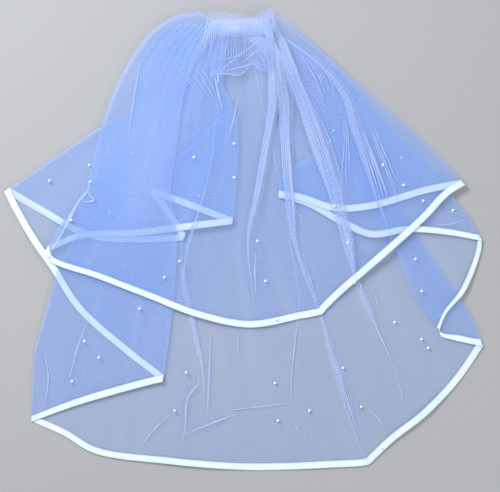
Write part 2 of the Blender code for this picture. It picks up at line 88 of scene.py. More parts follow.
# The panels in the order in which the cloth runs round. Panel i lies between fold i and fold i + 1, level is
# its place in the stack from the bottom, hem has the bends of its hem between the two tips, and ribbon has
# the share of the ribbon's width that shows at its first tip, half way and at its last tip. gathers is the
# number of small gathers that it has at the comb.
Panel = namedtuple("Panel", "name level hem ribbon gathers tucks")
PANELS = [
    Panel("upper_tier", 11,
          [(-311, -31), (-234, -59), (-154, -90), (-75, -120), (6, -136), (86, -122), (110, -117.5),
           (119, -115), (124, -109), (147, -86), (211, -30), (282, 34), (320, 74)], (0.8, 1.0, 1.0), 34,
          [Tuck((-35, 336), [(-42, 270), (-58, 110), (-97, -35)], (-101, -111), (1, 1, 1.5, 4, 0.4), 0.8),
           Tuck((-12, 334), [(34, 290), (42, 222), (36, 174), (29, 133), (15, 62), (3, -2)], (16, -135),
                (5, 11, 15, 12, 12, 8, 3, 1, 0.3), 1.5),
           Tuck((-2, 334), [(44, 290), (60, 222), (63, 158), (67, 94), (77, -2)], (116, -115),
                (5, 12, 18, 16, 15, 14, 9, 7, 5), 1.8),
           Tuck((6, 335), [(60, 284), (90, 222), (107, 174), (124, 126), (142, 78), (168, -18)], (179, -60),
                (5, 10, 20, 24, 28, 26, 22, 18, 6), 2.0),
           Tuck((26, 343), [(116, 278), (158, 226), (172, 178), (194, 110), (210, 60)], (238, -6),
                (1, 3, 9, 13, 11, 4, 0.3), 1.2)]),
    Panel("right_fold_1", 10, [(286, 78), (198, 53), (141, 50), (86, 67)], (1.0, 1.0, 1.0), 9, []),
    Panel("right_fold_2", 9, [(98, 58), (160, 24), (200, 8), (261, 16), (325, 11)], (1.0, 1.0, 0.8), 8, []),
    Panel("right_fold_3", 8, [(371, -21), (346, -82), (318, -117)], (0.7, 0.75, 0.35), 5, []),
    Panel("right_fold_4", 7, [(312, -152), (338, -158)], (0.35, 0.9, 0.9), 3, []),
    Panel("lower_tier", 0,
          [(338, -222), (286, -277), (235, -317), (201, -349), (195, -355), (186, -357), (134, -360),
           (6, -364), (-126, -354), (-240, -338), (-291, -309)], (1.0, 1.0, 0.9), 26,
          [Tuck((16, 334), [(100, 222), (124, 126), (150, 40), (178, -67), (221, -168), (239, -210)],
                (262, -296), (2, 5, 8, 11, 9, 1.2, 0.3), 1.2),
           Tuck((4, 334), [(60, 200), (80, 0), (118, -112), (140, -205), (179, -325)], (192, -355),
                (2, 4, 5, 6, 6, 4, 2), 0.9),
           Tuck((-2, 334), [(40, 160), (80, -60), (86, -110), (75, -200), (73, -261)], (80, -362),
                (1, 2, 3, 3, 2, 0.3, 0.3), 0.8),
           Tuck((-33, 334), [(-80, 160), (-104, -20), (-100, -60), (-84, -140), (-70, -206)], (-66, -360),
                (1, 2, 4, 7, 9, 0.4, 0.3), 1.2)]),
    Panel("left_fold_6", 6, [(-266, -259), (-165, -230)], (0.8, 1.0, 1.0), 7, []),
    Panel("left_fold_5", 5, [(-189, -179), (-266, -110), (-307, -46), (-342, 5), (-371, 56)], (1.0, 1.0, 1.0),
          6, []),
    Panel("left_fold_4", 1, [(-330, 48), (-253, 8), (-178, 0)], (1.0, 1.0, 1.0), 5, []),
    Panel("left_fold_3", 2, [(-128, 48)], (1.0, 1.0, 1.0), 4, []),
    Panel("left_fold_2", 3, [(-88, 54)], (1.0, 1.0, 1.0), 5, []),
    Panel("left_fold_1", 4, [(-88, 21), (-178, 10), (-266, 5)], (1.0, 1.0, 0.8), 12, []),
]
UPPER_TIER, RIGHT_FOLD_2, RIGHT_FOLD_3, RIGHT_FOLD_4, LOWER_TIER, LEFT_FOLD_6 = 0, 2, 3, 4, 5, 6
LAYER = 1.8             # height of one layer on the next
CLEARANCE = 0.5         # height of the lowest layer above the floor
RIBBON = 11.0           # width of the ribbon along the edge
INNER_EDGE = -1.05      # where the tulle ends, in half ribbon widths out from the ribbon's middle
MITRE_REACH = 15.0      # length of hem over which the ribbon turns into the mitre at a tip
ROWS = 64               # rows of faces from gather line to hem
STATION = 4.2           # distance between stations along the hem
row_share = (np.linspace(0, 1, ROWS + 1) ** 1.25)[:, None]      # rows lie closer near the gather line


def smoothstep(x):
    """3 x squared minus 2 x cubed, with x held between 0 and 1."""
    x = np.clip(x, 0.0, 1.0)
    return x * x * (3.0 - 2.0 * x)


def spaced(values, share):
    """Values given at even shares from 0 to 1, read at any share."""
    return np.interp(share, np.linspace(0, 1, len(values)), values)


def unit(v):
    """Vectors divided by their own lengths."""
    return v / np.maximum(np.linalg.norm(v, axis=-1, keepdims=True), 1e-9)


def with_lengths(dense):
    """Dense points of a line, and the sum of the steps up to each."""
    return dense, np.concatenate([[0.0], np.cumsum(np.linalg.norm(np.diff(dense, axis=0), axis=1))])


def line_through(points, steps=24):
    """A centripetal Catmull-Rom curve through points, as dense points and the length along to each."""
    p = np.array(points, float)
    p = np.vstack([2 * p[0] - p[1], p, 2 * p[-1] - p[-2]])
    knot = np.concatenate([[0.0], np.cumsum(np.sqrt(np.linalg.norm(np.diff(p, axis=0), axis=1)))])
    dense = []
    for i in range(1, len(p) - 2):
        t = np.linspace(knot[i], knot[i + 1], steps, endpoint=False)[:, None]
        k, q = knot[i - 1:i + 3], p[i - 1:i + 3]
        a = [((k[j + 1] - t) * q[j] + (t - k[j]) * q[j + 1]) / (k[j + 1] - k[j]) for j in range(3)]
        b = [((k[j + 2] - t) * a[j] + (t - k[j]) * a[j + 1]) / (k[j + 2] - k[j]) for j in range(2)]
        dense.append(((k[2] - t) * b[0] + (t - k[1]) * b[1]) / (k[2] - k[1]))
    return with_lengths(np.vstack(dense + [p[-2:-1]]))


def read_line(line, share):
    """Points of a line at shares of its length."""
    dense, along = line
    s = np.ravel(share) * along[-1]
    return np.stack([np.interp(s, along, dense[:, k]) for k in (0, 1)], axis=-1)


def line_direction(line, share, reach=4.0):
    """The unit chord from a little before to a little after each share of a line."""
    step = reach / line[1][-1]
    return unit(read_line(line, np.clip(share + step, 0, 1)) - read_line(line, np.clip(share - step, 0, 1)))


def cut_line(line, length):
    """The part of a line up to a length: the points before it, and the point at it."""
    dense, along = line
    return with_lengths(np.vstack([dense[along < length - 1e-6], read_line(line, length / along[-1])]))


def facing(i):
    """1 for a panel that lies face up and -1 for one that lies face down, as the cloth turns at each fold."""
    return 1 if i % 2 == 0 else -1


# At a tip the ribbon turns on a mitre, along the fold's own direction, longer the sharper the corner is.
MITRE_LONGEST = 2.0     # in half ribbon widths
hems = [line_through([FOLDS[i].tip, *p.hem, FOLDS[(i + 1) % len(FOLDS)].tip]) for i, p in enumerate(PANELS)]
fold_lines, mitres = [], []
for i, fold in enumerate(FOLDS):
    line = line_through([fold.start, *fold.bends, fold.tip])
    d = line_direction(line, 1.0)[0]
    sides = np.array([line_direction(hems[i], 0.0)[0], line_direction(hems[i - 1], 1.0)[0]])
    sine = np.abs(d[0] * sides[:, 1] - d[1] * sides[:, 0]).mean()
    mitres.append(d * min(1 / max(sine, 0.1), MITRE_LONGEST) * RIBBON / 2 * PANELS[i].ribbon[0])
    fold_lines.append(cut_line(line, line[1][-1] + INNER_EDGE * np.linalg.norm(mitres[i])))
fold_rows = [read_line(line, row_share) for line in fold_lines]


def hem_points(i, share, offset):
    """Hem points moved out by offset half ribbon widths, square to the hem and, at tips, along the mitre."""
    share = np.atleast_1d(share)
    length = hems[i][1][-1]
    d = line_direction(hems[i], share)
    out = np.stack([d[:, 1], -d[:, 0]], axis=1) * RIBBON / 2 * facing(i)
    out = out * spaced(PANELS[i].ribbon, share)[:, None]
    first = smoothstep(1 - share * length / MITRE_REACH)[:, None]
    last = smoothstep(1 - (1 - share) * length / MITRE_REACH)[:, None]
    out = (1 - first - last) * out + first * mitres[i] + last * mitres[(i + 1) % len(FOLDS)]
    return read_line(hems[i], share) + offset * out


# Across a tuck the cloth runs on, back and on again: the place across in widths, and the share of the height.
FULL_TUCK = 7.0         # a tuck narrower than this stands less high
ACROSS_TUCK = ((-0.62, 0.0), (0.40, 0.05), (0.50, 0.28), (0.40, 0.5), (-0.40, 0.5), (-0.50, 0.75),
               (-0.40, 1.0), (0.56, 1.0), (1.0, 0.0))


def lay_panel(i):
    """Stations of a panel, each a column of plan points from gather line to hem, with its share of the hem,
    and how far each point is lifted by a tuck.

    Between two guides, which are folds or the lines of a tuck, a row runs straight. It is then moved by its
    share of the way down, so that the last row lies on the hem's own curve.
    """
    hem_length = hems[i][1][-1]
    t = row_share
    flat = np.zeros_like(t)
    guides = [(fold_rows[i], 0.0, flat)]
    for tuck in PANELS[i].tucks:
        line = line_through([tuck.start, *tuck.bends, tuck.end])
        d = line_direction(line, t[:, 0])
        across = np.stack([-d[:, 1], d[:, 0]], axis=1) * facing(i)
        width = spaced(tuck.widths, t)
        end = hems[i][1][np.argmin(np.linalg.norm(hems[i][0] - tuck.end, axis=1))]
        for place, height_share in ACROSS_TUCK:
            hem_share = (end + place * tuck.widths[-1]) / hem_length
            rows = read_line(line, t) + across * place * width
            rows = rows + (hem_points(i, hem_share, INNER_EDGE) - rows[-1]) * t ** 3
            lift = height_share * tuck.height * smoothstep(width / FULL_TUCK)
            guides.append((rows, hem_share, lift))
    guides.append((fold_rows[(i + 1) % len(FOLDS)], 1.0, flat))
    columns, shares, lifts = [], [], []
    for k, (a, b) in enumerate(zip(guides[:-1], guides[1:])):
        in_tuck = k % len(ACROSS_TUCK) != 0
        count = 1 if in_tuck else max(2, math.ceil((b[1] - a[1]) * hem_length / STATION))
        u = np.arange(count)[:, None, None] / count
        share = ((1 - u) * a[1] + u * b[1])[:, 0, 0]
        rows = (1 - u) * a[0] + u * b[0]
        columns.append(rows + (hem_points(i, share, INNER_EDGE)[:, None] - rows[:, -1:]) * t)
        shares.append(share)
        lifts.append(((1 - u) * a[2] + u * b[2])[..., 0])
    columns.append(guides[-1][0][None])
    lifts.append(flat.T)
    return np.concatenate(columns), np.append(np.concatenate(shares), 1.0), np.concatenate(lifts)


# Heights are read from maps on a grid over the plan, one for each panel: 1 on the panel, falling to 0 past
# its edge, so that each layer lies on the ones under it and comes down softly where they end.
GRID = 5.0
grid_x = np.arange(-430, 431, GRID)
grid_y = np.arange(-420, 421, GRID)
grid = np.stack(np.meshgrid(grid_x, grid_y, indexing="ij"), axis=-1).reshape(-1, 2)


def distance_outside(points, outline):
    """Distance from each point to an outline's nearest side, and zero inside it by counting crossings."""
    a, b = outline, np.roll(outline, -1, axis=0)
    p, ab = points[:, None, :], b - a
    h = np.clip(((p - a) * ab).sum(-1) / np.maximum((ab * ab).sum(-1), 1e-9), 0, 1)
    away = np.linalg.norm(p - a - h[..., None] * ab, axis=-1).min(axis=1)
    rise = np.where(np.abs(ab[:, 1]) < 1e-9, 1e-9, ab[:, 1])
    crossing = (a[:, 1] > p[..., 1]) != (b[:, 1] > p[..., 1])
    hit = p[..., 0] < a[:, 0] + (p[..., 1] - a[:, 1]) * ab[:, 0] / rise
    return np.where((crossing & hit).sum(axis=1) % 2 == 1, 0.0, away)


def outline_of(i):
    """The outline of panel i: down its first fold, along its hem's outer side, up its last fold, and round
    behind the comb.
    """
    behind = np.array([[0.0, 30.0]])
    first, last = fold_rows[i][::4], fold_rows[(i + 1) % len(FOLDS)][::-4]
    hem = hem_points(i, np.linspace(0, 1, 41), 1.0)
    return np.vstack([first[:1] + behind, first, hem, last, last[-1:] + behind])


COMB_LIFT = 2.8         # how far the comb raises the layers that lie on it
COMB_FALL = 90.0        # distance from the comb over which they come down
fall = np.clip(0.45 * np.linalg.norm(grid - GATHER, axis=1), 35, 120)
cover = []
for i in range(len(PANELS)):
    away = distance_outside(grid, outline_of(i))
    cover.append(smoothstep(1 - np.maximum(away - 5, 0) / fall).reshape(len(grid_x), len(grid_y)))
comb_middle, comb_half = np.array([-7.0, 313.0]), np.array([53.0, 39.5])     # comb and gathers on the plan
from_comb = np.linalg.norm(np.maximum(np.abs(grid - comb_middle) - comb_half, 0), axis=1)
comb_lift = (COMB_LIFT * smoothstep(1 - from_comb / COMB_FALL)).reshape(len(grid_x), len(grid_y))
stack_maps = [comb_lift + LAYER * sum((cover[j] for j, q in enumerate(PANELS) if q.level < p.level),
                                      np.zeros_like(comb_lift)) for p in PANELS]


def read_map(values, points):
    """Bilinear reading of a grid map at plan points."""
    fx = np.clip((points[..., 0] - grid_x[0]) / GRID, 0, len(grid_x) - 1.001)
    fy = np.clip((points[..., 1] - grid_y[0]) / GRID, 0, len(grid_y) - 1.001)
    ix, iy = fx.astype(int), fy.astype(int)
    u, v = fx - ix, fy - iy
    low = values[ix, iy] * (1 - u) + values[ix + 1, iy] * u
    high = values[ix, iy + 1] * (1 - u) + values[ix + 1, iy + 1] * u
    return low * (1 - v) + high * v


WAVE_HEIGHT = 3.4       # of the broad waves, near the hems


def soft_waves(points):
    """Broad soft waves that fan out from the comb: sines of the angle round it, higher towards the hems."""
    away = points - GATHER
    r = np.linalg.norm(away, axis=-1)
    angle = np.arctan2(away[..., 0], -away[..., 1])
    waves = 0.5 + 0.3 * np.sin(11 * angle + 0.004 * r + 0.6) + 0.2 * np.sin(23 * angle - 0.006 * r + 2.1)
    return WAVE_HEIGHT * np.clip(waves, 0, 1) * smoothstep((r - 60) / 320)


PUFF, PUFF_REACH = 3.0, 320.0       # rise of the upper tier at the comb, and the distance over which it ends


def height_of(i, points):
    """Height of panel i over plan points: comb, layers under it and soft waves, and the upper tier's puff."""
    z = CLEARANCE + read_map(stack_maps[i], points) + soft_waves(points)
    if i == UPPER_TIER:
        z = z + PUFF * smoothstep(1 - np.linalg.norm(points - GATHER, axis=-1) / PUFF_REACH)
    return z


def gathers(i, share, points):
    """Small gathers at the comb: a cosine along the gather line that dies away down the cloth."""
    away = np.linalg.norm(points - GATHER, axis=-1)
    size, reach = (1.5, 170) if i == UPPER_TIER else (0.6, 90)      # the layers below are pressed flat
    uneven = 1 + 0.35 * np.sin(9 * share + 2 * i)
    wave = 0.5 - 0.5 * np.cos(2 * np.pi * PANELS[i].gathers * (share + 0.02 * np.sin(7 * share)))
    return (size * uneven * wave)[:, None] * np.exp(-(away / reach) ** 1.5)


def fold_turn(i, j, rows, along):
    """The turn of the fold from panel i to panel j: half an ellipse round each point of the fold's line."""
    out = np.stack([along[:, 1], -along[:, 0]], axis=1) * (1 if FOLDS[j].side == "left" else -1)
    z_i, z_j = height_of(i, rows), height_of(j, rows)
    down = PANELS[i].level > PANELS[j].level
    angles = np.radians(np.array([58.0, 20.0, -20.0, -58.0]) * (1 if down else -1))[:, None]
    plan = rows + out * (0.9 * np.cos(angles))[..., None]
    z = (z_i + z_j) / 2 + np.abs(z_i - z_j) / 2 * np.sin(angles)
    return np.concatenate([plan, z[..., None]], axis=2)


# The cloth and its ribbon are laid panel by panel, with the turn of a fold after each. The cloth is painted
# whiter close to the comb and where the gathers of the left shoulder run down, where it lies densest. On
# tucks and at the turns of the folds it is painted whiter too: partly their denser doubled cloth, and
# partly a painted highlight where they catch the light.
LIE_ON_LOWER_TIER = (UPPER_TIER, RIGHT_FOLD_2, RIGHT_FOLD_3)
RIBBON_PLACES = np.array([-1.0, -0.92, -0.5, 0.0, 0.5, 0.92, 1.0])      # across it, in half widths
RIBBON_CROWN = 0.5      # rise of the ribbon's middle over its sides
# At the turn of each fold the cloth is painted whiter: partly its denser look, partly a painted highlight.
FOLD_WHITE_AND_HIGHLIGHT = 0.75
tulle_columns, ribbon_columns, hem_runs, whites_and_highlights = [], [], [], []
run = 0.0
for i in range(len(PANELS)):
    columns, shares, lifts = lay_panel(i)
    j = (i + 1) % len(PANELS)
    covered = 0.0
    if i == LOWER_TIER:
        covered = np.max([read_map(cover[k], columns) for k in LIE_ON_LOWER_TIER], axis=0)
    z = height_of(i, columns) + lifts * (1 - 0.5 * covered) + gathers(i, shares, columns)
    tulle_columns.append(np.concatenate([columns, z[..., None]], axis=2))
    near = np.exp(-(np.linalg.norm(columns - GATHER - [26, 0], axis=-1) / 80) ** 2)
    # On tucks the cloth is painted whiter: partly the denser folded cloth, partly a painted highlight on
    # them.
    white_and_highlight = 0.6 * near + (0.9 if i == LOWER_TIER else 0.5) * smoothstep(lifts / 0.04)
    if i == UPPER_TIER:
        x, y = columns[..., 0], columns[..., 1]
        shoulder = np.exp(-((x + 170 - 0.08 * y) / 42) ** 2) * smoothstep((y + 30) / 90)
        white_and_highlight = white_and_highlight + 0.5 * shoulder * smoothstep((330 - y) / 70)
    whites_and_highlights.append(np.clip(white_and_highlight, 0, 1))
    strip = np.stack([hem_points(i, shares, p) for p in RIBBON_PLACES], axis=1)
    crown = RIBBON_CROWN * (1 - RIBBON_PLACES ** 2)
    z = height_of(i, strip) + lifts[:, -1:] + crown + 0.1
    ribbon_columns.append(np.concatenate([strip, z[..., None]], axis=2))
    hem_runs.append(run + shares * hems[i][1][-1])
    run += hems[i][1][-1]
    whites_and_highlights.append(np.full((4, ROWS + 1), FOLD_WHITE_AND_HIGHLIGHT))
    tulle_columns.append(fold_turn(i, j, fold_rows[j], line_direction(fold_lines[j], row_share[:, 0])))
    ends = np.array(FOLDS[j].tip, float) + RIBBON_PLACES[:, None] * mitres[j]
    ribbon_columns.append(fold_turn(i, j, ends, unit(np.repeat(mitres[j][None], len(ends), axis=0))))
    hem_runs.append(np.full(4, run))
tulle_net = np.concatenate(tulle_columns)
ribbon_net = np.concatenate(ribbon_columns)
hem_run = np.concatenate(hem_runs) + np.arange(len(tulle_net)) * 0.02


def to_frame(points):
    """Plan millimetres to metres in the frame."""
    placed = np.array(points, float)
    placed[..., :2] += plan_shift
    return placed * MM


def length_down(net):
    """The length along each column of a net of points, from its first point to each."""
    steps = np.linalg.norm(np.diff(net, axis=1), axis=2)
    return np.concatenate([np.zeros((len(net), 1)), np.cumsum(steps, axis=1)], axis=1)


def net_object(name, nets, closed, white_and_highlight=0.0):
    """One mesh from nets of points. Each net is (points, across, down), with the lengths across to each
    column and down to each point, in metres like the points, which become the UV map called cut. The last
    argument fills a float attribute that says how white the tulle is painted: whiter where it is gathered
    tightly, and whiter again as a painted highlight where it is folded tightly.
    """
    vertices, faces, corners, count = [], [], [], 0
    for points, across, down in nets:
        columns, rows = points.shape[:2]
        here = np.arange(columns if closed else columns - 1)
        beside = (here + 1) % columns
        r = np.arange(rows - 1)
        a, b = here[:, None] * rows + r, beside[:, None] * rows + r
        faces.append((np.stack([a, b, b + 1, a + 1], axis=-1) + count).reshape(-1, 4))
        end = np.where(beside == 0, across[-1] + 0.002, across[beside])
        u = np.repeat(np.stack([across[here], end, end, across[here]], axis=-1)[:, None], rows - 1, axis=1)
        v = np.stack([down[here, :-1], down[beside, :-1], down[beside, 1:], down[here, 1:]], axis=-1)
        corners.append(np.stack([u, v], axis=-1).reshape(-1, 2))
        vertices.append(points.reshape(-1, 3))
        count += columns * rows
    mesh = bpy.data.meshes.new(name)
    mesh.from_pydata(np.concatenate(vertices), [], np.concatenate(faces))
    mesh.uv_layers.new(name="cut").data.foreach_set("uv", np.concatenate(corners).astype(np.float32).ravel())
    mesh.attributes.new("white_and_highlight", "FLOAT", "POINT").data.foreach_set(
        "value", np.broadcast_to(white_and_highlight, count).astype(np.float32))
    mesh.shade_smooth()
    piece = bpy.data.objects.new(name, mesh)
    bpy.context.scene.collection.objects.link(piece)
    return piece


def linear(code):
    """An sRGB hex colour as linear red, green, blue and 1."""
    s = np.array([int(code[k:k + 2], 16) for k in (1, 3, 5)]) / 255
    return (*np.where(s <= 0.04045, s / 12.92, ((s + 0.055) / 1.055) ** 2.4), 1.0)


def add(tree, kind, inputs, **settings):
    """Adds a node with its settings. inputs pairs a socket with a value, or with an output to link to it."""
    made = tree.nodes.new(kind)
    for key, value in settings.items():
        setattr(made, key, value)
    for socket, value in inputs.items():
        if isinstance(value, bpy.types.NodeSocket):
            tree.links.new(value, made.inputs[socket])
        else:
            made.inputs[socket].default_value = value
    return made


def on_cut(tree, across=1.0, down=1.0):
    """Places on the flat cut from the UV map, as the length in metres times across and times down."""
    cut = add(tree, "ShaderNodeUVMap", {}, uv_map="cut").outputs["UV"]
    return add(tree, "ShaderNodeMapping", {"Vector": cut, "Scale": (across, down, 1)}).outputs[0]


def mixed(tree, share, first, second):
    """The first colour where share is 0, the second where it is 1. Each is a hex code or an output."""
    share_in, first_in, second_in, colour_out = 0, 6, 7, 2      # the mix node's sockets for colours
    ends = [linear(colour) if isinstance(colour, str) else colour for colour in (first, second)]
    inputs = {share_in: share, first_in: ends[0], second_in: ends[1]}
    return add(tree, "ShaderNodeMix", inputs, data_type="RGBA").outputs[colour_out]


def relief(tree, shader, height, strength, depth):
    """Links a height from 0 to 1 to the shader's normal, as relief of a depth in metres."""
    bump = add(tree, "ShaderNodeBump", {"Height": height, "Strength": strength, "Distance": depth})
    tree.links.new(bump.outputs["Normal"], shader.inputs["Normal"])


def finish(name, roughness, **weights):
    """A new material with its roughness and other constants set on the shader's own sockets."""
    material = bpy.data.materials.new(name)
    material.use_nodes = True
    shader = material.node_tree.nodes["Principled BSDF"]
    shader.inputs["Roughness"].default_value = roughness
    for key, value in weights.items():
        shader.inputs[key.replace("_", " ")].default_value = value
    return material, material.node_tree, shader


# Pinched creases: places where the cloth is nipped into a narrow doubled fold, each (panel, width, points).
Crease = namedtuple("Crease", "panel width points")
CREASES = [
    Crease(UPPER_TIER, 3.0, [(-52, 268), (-46, 240), (-37, 203)]),
    Crease(UPPER_TIER, 3.4, [(-52, 268), (-46, 262), (-44, 252), (-50, 243)]),
    Crease(UPPER_TIER, 1.8, [(-13, 234), (-16, 206), (-22, 182), (-29, 154)]),
    Crease(UPPER_TIER, 4.6, [(-250, 92), (-251, 78), (-264, 62), (-277, 40), (-291, 12), (-311, -22)]),
    Crease(UPPER_TIER, 3.0, [(-252, 80), (-246, 66), (-240, 62), (-262, 58)]),
    Crease(UPPER_TIER, 1.6, [(-166, 289), (-174, 250), (-184, 187), (-189, 158)]),
    Crease(UPPER_TIER, 2.2, [(16, -20), (14, -50), (16, -92)]),
    Crease(UPPER_TIER, 1.8, [(74, 50), (84, 42), (91, 27)]),
    Crease(RIGHT_FOLD_2, 2.2, [(317, 45), (333, 42), (349, 35)]),
    Crease(RIGHT_FOLD_2, 2.0, [(300, 22), (326, 24), (352, 32)]),
    Crease(RIGHT_FOLD_4, 1.8, [(298, -128), (306, -124), (314, -117)]),
    Crease(LOWER_TIER, 2.4, [(-57, -149), (-59, -220), (-62, -286)]),
    Crease(LOWER_TIER, 2.6, [(-88, -120), (-80, -170), (-70, -208)]),
    Crease(LOWER_TIER, 3.0, [(-77, -208), (-76, -230), (-93, -253), (-98, -307), (-104, -326)]),
    Crease(LOWER_TIER, 3.0, [(-98, -312), (-54, -294), (-8, -277)]),
    Crease(LOWER_TIER, 2.2, [(-37, -274), (6, -270), (67, -262)]),
    Crease(LOWER_TIER, 2.0, [(-13, -146), (-13, -183)]),
    Crease(LOWER_TIER, 1.8, [(-170, -333), (-146, -303), (-120, -277)]),
    Crease(LOWER_TIER, 2.4, [(66, -277), (85, -307), (104, -330)]),
    Crease(LOWER_TIER, 2.4, [(84, -96), (79, -160), (73, -215), (71, -270)]),
    Crease(LOWER_TIER, 3.0, [(194, -270), (212, -288), (226, -307)]),
    Crease(LOWER_TIER, 2.0, [(243, -235), (249, -248), (248, -261)]),
    Crease(LOWER_TIER, 2.6, [(180, -68), (198, -116), (221, -168), (239, -212)]),
    Crease(LOWER_TIER, 1.8, [(197, -70), (206, -90), (215, -116)]),
    Crease(LEFT_FOLD_6, 2.2, [(-284, -232), (-268, -170), (-248, -120)]),
    Crease(LEFT_FOLD_6, 2.0, [(-322, -270), (-316, -220), (-322, -180)]),
]

# Fans of fine creases between two lines, as gathers run out from the comb and along the larger tucks.
Fan = namedtuple("Fan", "panel count width left right")
FANS = [
    Fan(UPPER_TIER, 5, 1.0, [(-122, 290), (-92, 246), (-52, 216)], [(-96, 296), (-64, 264), (-38, 206)]),
    Fan(UPPER_TIER, 18, 2.4, [(26, 354), (34, 322), (38, 300), (40, 262), (42, 228)],
        [(46, 360), (60, 322), (68, 306), (82, 268), (98, 232)]),
    Fan(UPPER_TIER, 9, 2.6, [(16, 352), (26, 334), (34, 310), (38, 276)],
        [(44, 362), (54, 334), (60, 312), (64, 290)]),
    Fan(UPPER_TIER, 7, 2.2, [(-60, 358), (-66, 330), (-74, 298)], [(-38, 352), (-46, 330), (-48, 300)]),
    Fan(UPPER_TIER, 5, 1.8, [(40, 290), (36, 226), (29, 170), (21, 112), (4, 10)],
        [(46, 270), (50, 222), (42, 176), (32, 120), (6, -4)]),
    Fan(UPPER_TIER, 6, 2.0, [(52, 250), (52, 200), (56, 150), (60, 90), (72, 4)],
        [(66, 240), (70, 196), (71, 150), (75, 96), (82, 0)]),
    Fan(UPPER_TIER, 4, 1.6, [(74, 10), (84, -36), (100, -82), (114, -108)],
        [(84, 4), (96, -40), (110, -84), (118, -106)]),
    Fan(UPPER_TIER, 9, 2.2, [(70, 270), (82, 222), (98, 166), (120, 108), (136, 60)],
        [(84, 276), (104, 228), (126, 180), (146, 120), (156, 50)]),
    Fan(UPPER_TIER, 5, 2.0, [(148, 40), (158, 0), (170, -50)], [(160, 44), (172, -10), (178, -56)]),
    Fan(UPPER_TIER, 5, 1.8, [(80, 300), (104, 260), (120, 220)], [(100, 300), (134, 262), (148, 220)]),
    Fan(UPPER_TIER, 5, 1.6, [(58, 334), (110, 290), (160, 244), (186, 214)],
        [(62, 342), (120, 300), (178, 246), (204, 206)]),
    Fan(UPPER_TIER, 3, 2.0, [(150, 210), (156, 160), (152, 110), (150, 60)],
        [(158, 200), (164, 150), (166, 110), (172, 60)]),
    Fan(UPPER_TIER, 6, 1.8, [(158, 226), (166, 190), (182, 140), (196, 90), (208, 40)],
        [(172, 214), (186, 180), (206, 130), (224, 80), (240, 20)]),
    Fan(UPPER_TIER, 3, 1.6, [(184, 226), (194, 180), (222, 104), (244, 50)],
        [(194, 222), (208, 176), (238, 106), (262, 42)]),
    Fan(LOWER_TIER, 6, 1.8, [(118, -114), (128, -160), (142, -210), (162, -276), (180, -328)],
        [(120, -108), (146, -180), (168, -240), (184, -290), (196, -336)]),
    Fan(LOWER_TIER, 3, 1.6, [(176, -66), (196, -118), (214, -160)], [(184, -62), (204, -112), (226, -170)]),
    Fan(LOWER_TIER, 2, 1.6, [(78, -94), (84, -130)], [(94, -86), (92, -124)]),
]
fan_creases = []
for number, fan in enumerate(FANS):
    left, right = line_through(fan.left), line_through(fan.right)
    for k in range(fan.count):
        across = (k + 0.5 + 0.3 * math.sin(5 * k + number)) / fan.count
        first = 0.12 + 0.12 * math.sin(7 * k + 2 * number)
        last = 0.86 + 0.14 * math.sin(11 * k + 3 * number)
        share = np.linspace(first, last, 6)
        points = read_line(left, share) * (1 - across) + read_line(right, share) * across
        fan_creases.append(Crease(fan.panel, fan.width * (1 + 0.4 * math.sin(13 * k + number)), points))


# Places round a crease's section, in half widths: across it, and up from its lowest point, pressed to 0.4 of
# a round fold's height.
CREASE_ACROSS = np.array([-1.0, -0.5, 0.5, 1.0, 0.5, -0.5])
CREASE_UP = np.array([0.35, 0.7, 0.8, 0.35, 0.1, 0.0]) * 0.4
CREASE_LIFT, UPPER_CREASE_LIFT = 0.6, 1.8       # over a panel, and over the upper tier with its gathers
BAND_HALF_SIZE = np.array([50, 12])     # half length and half width of the band that creases rise over


def pinched(crease, over_band=5.8):
    """The net of one crease: a flattened tube six points round, its width the root of a sine of the share of
    its length, so that it ends in points. It lies on its panel, and rises by over_band on the comb band.
    """
    line = line_through(crease.points)
    share = np.linspace(0, 1, max(8, math.ceil(line[1][-1] / 5)))
    half = crease.width / 2 * np.abs(np.sin(np.pi * share)) ** 0.7
    half = half * (1 + 0.25 * np.sin(19 * share + crease.width * 5))
    d = line_direction(line, share)
    side = np.stack([-d[:, 1], d[:, 0]], axis=1)
    plan = read_line(line, share)[:, None] + (side * half[:, None])[:, None] * CREASE_ACROSS[:, None]
    lift = CREASE_LIFT
    if crease.panel == UPPER_TIER:
        from_band = np.linalg.norm(np.maximum(np.abs(plan - GATHER) - BAND_HALF_SIZE, 0), axis=-1)
        lift = UPPER_CREASE_LIFT + over_band * smoothstep(1 - from_band / 14)
    z = height_of(crease.panel, plan) + lift + CREASE_UP * half[:, None]
    tube = to_frame(np.concatenate([plan, z[..., None]], axis=2))
    tube = np.concatenate([tube, tube[:, :1]], axis=1)
    return tube, share * 0.1, length_down(tube)


def close_seams(piece):
    """Merges the points that lie together where a tube's sides meet and where its ends come to a point."""
    weld = piece.modifiers.new("seams", "WELD")
    weld.merge_threshold = 0.00001


crease_nets = [pinched(crease) for crease in CREASES + fan_creases]

# Soft nylon tulle: a matt net with a faint sheen. One layer hides about a quarter of what lies behind it, so
# layer upon layer gives deeper tones. The net of the real tulle has holes of 1.2 mm. It is drawn here at
# 4.2 mm, so that it shows at this size.
NET_PER_METRE = 240
